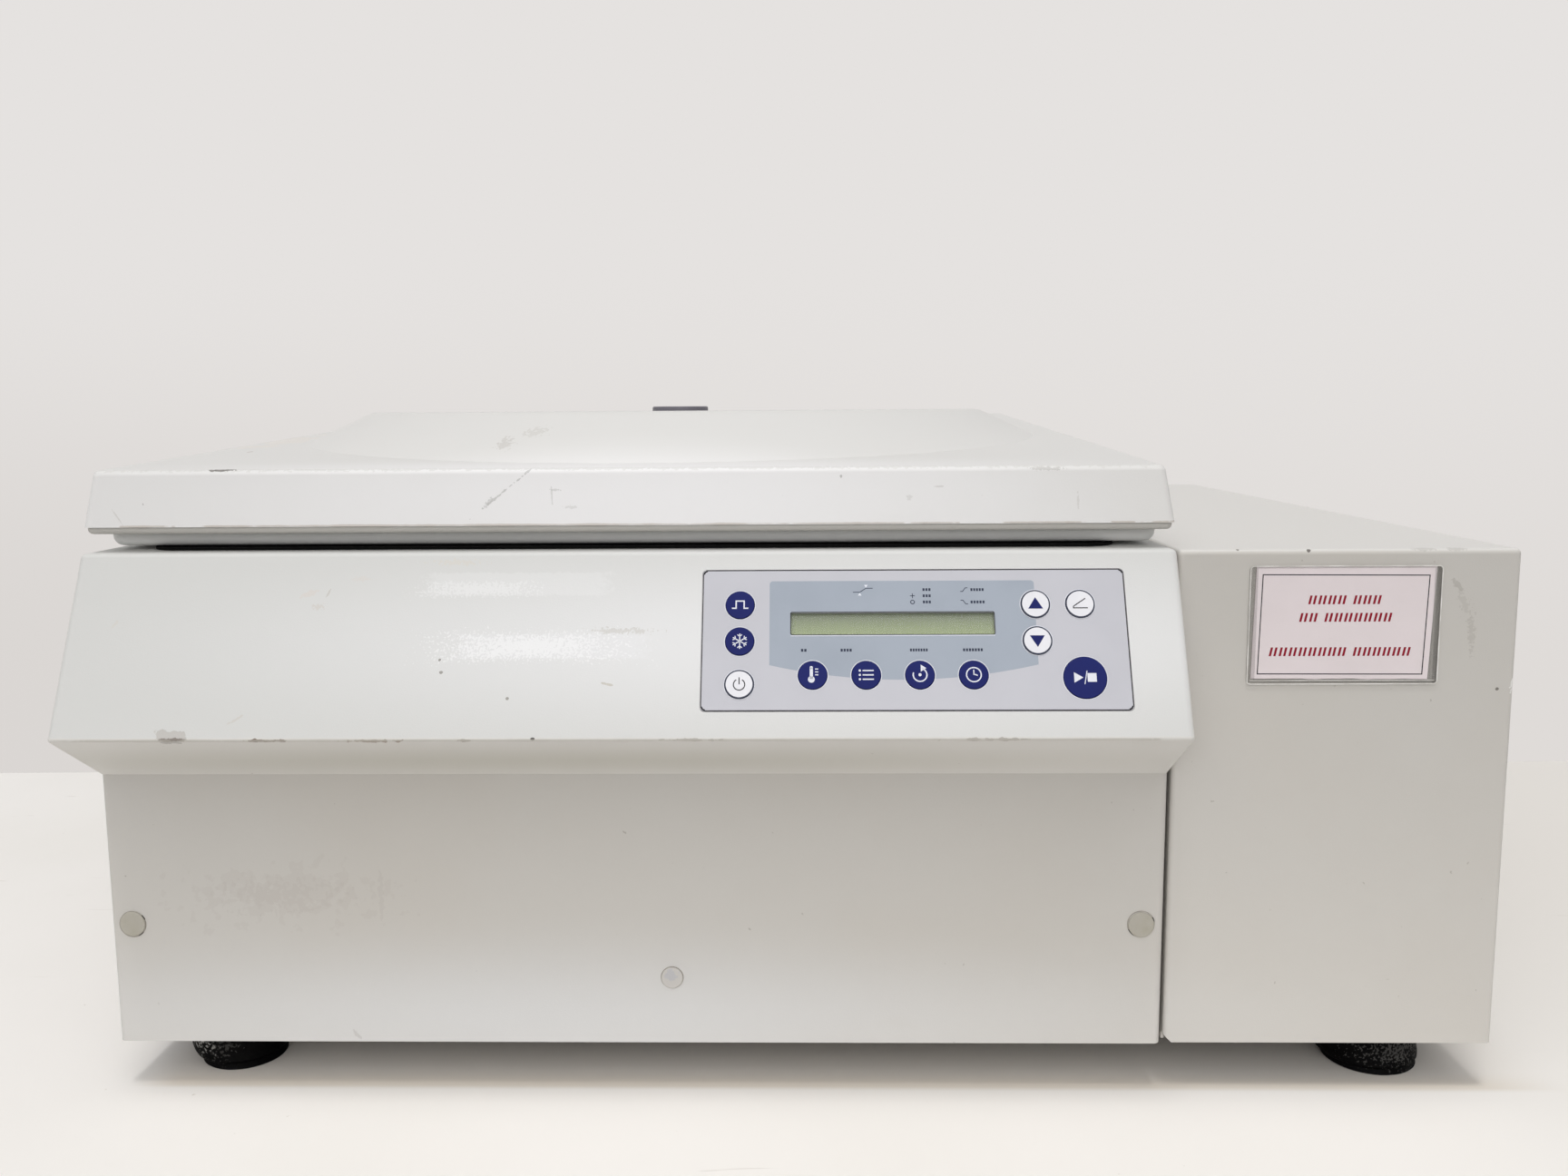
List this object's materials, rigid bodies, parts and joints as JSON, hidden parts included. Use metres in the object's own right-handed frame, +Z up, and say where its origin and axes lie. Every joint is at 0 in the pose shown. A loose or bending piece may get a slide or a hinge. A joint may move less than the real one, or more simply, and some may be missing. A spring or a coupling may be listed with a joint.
{
  "type": "microplate centrifuge",
  "caption": "Refrigerated bench centrifuge for microplates: hinged flat lid with an inspection port, slanted keypad console, swing-bucket rotor in a chamber, cooling unit at the side.",
  "frame": {"origin": "on the bench, under the middle of the whole instrument", "axes": "+Z up, +X from the drive unit towards the refrigeration unit, -Y out of the control panel"},
  "size_m": [0.7, 0.6075, 0.3483],
  "materials": {
    "casing_paint": "satin, fine texture",
    "lid_paint": "satin, fine texture",
    "console_plastic": "fine texture",
    "liner_plastic": "smooth",
    "clear_plastic": "clear",
    "overlay_film": "printed film",
    "clear_glass": "clear",
    "display_green": "liquid crystal",
    "board_green": "circuit board",
    "key_blue": "moulded",
    "key_white": "moulded",
    "bare_steel": "plated",
    "chamber_steel": "brushed",
    "copper_tube": "bare copper",
    "foam": "rigid foam",
    "black_rubber": "dull",
    "black_plastic": "moulded",
    "motor_paint": "painted",
    "cast_housing": "cast",
    "rotor_alloy": "anodised",
    "bucket_alloy": "anodised",
    "card_white": "paper"
  },
  "bodies": {
    "housing": {"base_chassis": "bare_steel", "front_panel": "casing_paint", "panel_caps": "clear_plastic", "console_housing": "console_plastic", "keypad_overlay": "overlay_film", "display_window": "clear_glass", "lcd_module": "display_green", "control_board": "board_green", "top_deck": "casing_paint", "left_side_panel": "casing_paint", "rear_panel": "casing_paint", "panel_screws": "bare_steel", "rotor_chamber": "chamber_steel", "chamber_insulation": "foam", "evaporator_coil": "copper_tube", "chamber_seal": "black_rubber", "deck_seal": "black_rubber", "drive_motor": "cast_housing", "motor_mount": "bare_steel", "motor_dampers": "black_rubber", "module_cover": "casing_paint", "compressor": "motor_paint", "condenser": "cast_housing", "fan_frame": "black_plastic", "rubber_feet": "black_rubber", "mains_inlet": "black_plastic", "power_supply": "cast_housing", "hinge_blocks": "bare_steel", "hinge_pins": "bare_steel", "latch_bearings": "black_plastic", "lock_motor": "motor_paint", "sign_pocket": "clear_plastic", "sign_card": "card_white"},
    "lid": {"lid_cover": "lid_paint", "lid_liner": "liner_plastic", "port_ring": "black_plastic", "port_glass": "clear_glass", "hinge_arms": "bare_steel", "lid_strikers": "bare_steel"},
    "rotor": {"rotor_cross": "rotor_alloy", "drive_shaft": "bare_steel", "rotor_nut": "bare_steel"},
    "plate_bucket_1": {"plate_bucket_1": "bucket_alloy"},
    "plate_bucket_2": {"plate_bucket_2": "bucket_alloy"},
    "plate_bucket_3": {"plate_bucket_3": "bucket_alloy"},
    "plate_bucket_4": {"plate_bucket_4": "bucket_alloy"},
    "key_short": {"key_short": "key_blue"},
    "key_fast_cool": {"key_fast_cool": "key_blue"},
    "key_power": {"key_power": "key_white"},
    "key_temperature": {"key_temperature": "key_blue"},
    "key_program": {"key_program": "key_blue"},
    "key_speed": {"key_speed": "key_blue"},
    "key_time": {"key_time": "key_blue"},
    "key_up": {"key_up": "key_white"},
    "key_down": {"key_down": "key_white"},
    "key_lid": {"key_lid": "key_white"},
    "key_start": {"key_start": "key_blue"},
    "latch": {"lid_latch": "bare_steel"},
    "fan": {"condenser_fan": "black_plastic"},
    "mains_switch": {"mains_switch": "black_plastic"}
  },
  "joints": [
    {"name": "lid_hinge", "type": "hinge", "parent": "housing", "child": "lid", "pos_m": [-0.0835, 0.283, 0.296], "axis": [-1, 0, 0], "range_deg": [0, 75]},
    {"name": "rotor_spin", "type": "hinge", "parent": "housing", "child": "rotor", "pos_m": [-0.0835, 0.0367, 0.2], "axis": [0, 0, 1], "continuous": true},
    {"name": "bucket_1_swing", "type": "hinge", "parent": "rotor", "child": "plate_bucket_1", "pos_m": [0.0345, 0.0367, 0.2], "axis": [0, -1, 0], "range_deg": [0, 90]},
    {"name": "bucket_2_swing", "type": "hinge", "parent": "rotor", "child": "plate_bucket_2", "pos_m": [-0.0835, 0.1547, 0.2], "axis": [1, 0, 0], "range_deg": [0, 90]},
    {"name": "bucket_3_swing", "type": "hinge", "parent": "rotor", "child": "plate_bucket_3", "pos_m": [-0.2015, 0.0367, 0.2], "axis": [0, 1, 0], "range_deg": [0, 90]},
    {"name": "bucket_4_swing", "type": "hinge", "parent": "rotor", "child": "plate_bucket_4", "pos_m": [-0.0835, -0.0813, 0.2], "axis": [-1, 0, 0], "range_deg": [0, 90]},
    {"name": "short_key_press", "type": "slide", "parent": "housing", "child": "key_short", "axis": [0, 0.8953, -0.4455], "range_m": [0, 0.0006], "stiffness_N_per_m": 1500},
    {"name": "fast_cool_key_press", "type": "slide", "parent": "housing", "child": "key_fast_cool", "axis": [0, 0.8953, -0.4455], "range_m": [0, 0.0006], "stiffness_N_per_m": 1500},
    {"name": "power_key_press", "type": "slide", "parent": "housing", "child": "key_power", "axis": [0, 0.8953, -0.4455], "range_m": [0, 0.0006], "stiffness_N_per_m": 1500},
    {"name": "temperature_key_press", "type": "slide", "parent": "housing", "child": "key_temperature", "axis": [0, 0.8953, -0.4455], "range_m": [0, 0.0006], "stiffness_N_per_m": 1500},
    {"name": "program_key_press", "type": "slide", "parent": "housing", "child": "key_program", "axis": [0, 0.8953, -0.4455], "range_m": [0, 0.0006], "stiffness_N_per_m": 1500},
    {"name": "speed_key_press", "type": "slide", "parent": "housing", "child": "key_speed", "axis": [0, 0.8953, -0.4455], "range_m": [0, 0.0006], "stiffness_N_per_m": 1500},
    {"name": "time_key_press", "type": "slide", "parent": "housing", "child": "key_time", "axis": [0, 0.8953, -0.4455], "range_m": [0, 0.0006], "stiffness_N_per_m": 1500},
    {"name": "up_key_press", "type": "slide", "parent": "housing", "child": "key_up", "axis": [0, 0.8953, -0.4455], "range_m": [0, 0.0006], "stiffness_N_per_m": 1500},
    {"name": "down_key_press", "type": "slide", "parent": "housing", "child": "key_down", "axis": [0, 0.8953, -0.4455], "range_m": [0, 0.0006], "stiffness_N_per_m": 1500},
    {"name": "lid_key_press", "type": "slide", "parent": "housing", "child": "key_lid", "axis": [0, 0.8953, -0.4455], "range_m": [0, 0.0006], "stiffness_N_per_m": 1500},
    {"name": "start_key_press", "type": "slide", "parent": "housing", "child": "key_start", "axis": [0, 0.8953, -0.4455], "range_m": [0, 0.0006], "stiffness_N_per_m": 1500},
    {"name": "latch_turn", "type": "hinge", "parent": "housing", "child": "latch", "pos_m": [-0.0835, -0.228, 0.24], "axis": [-1, 0, 0], "range_deg": [0, 35]},
    {"name": "fan_spin", "type": "hinge", "parent": "housing", "child": "fan", "pos_m": [0.2675, 0.2205, 0.1297], "axis": [0, 1, 0], "continuous": true},
    {"name": "mains_rocker", "type": "hinge", "parent": "housing", "child": "mains_switch", "pos_m": [-0.252, 0.298, 0.066], "axis": [1, 0, 0], "range_deg": [0, 14]}
  ]
}
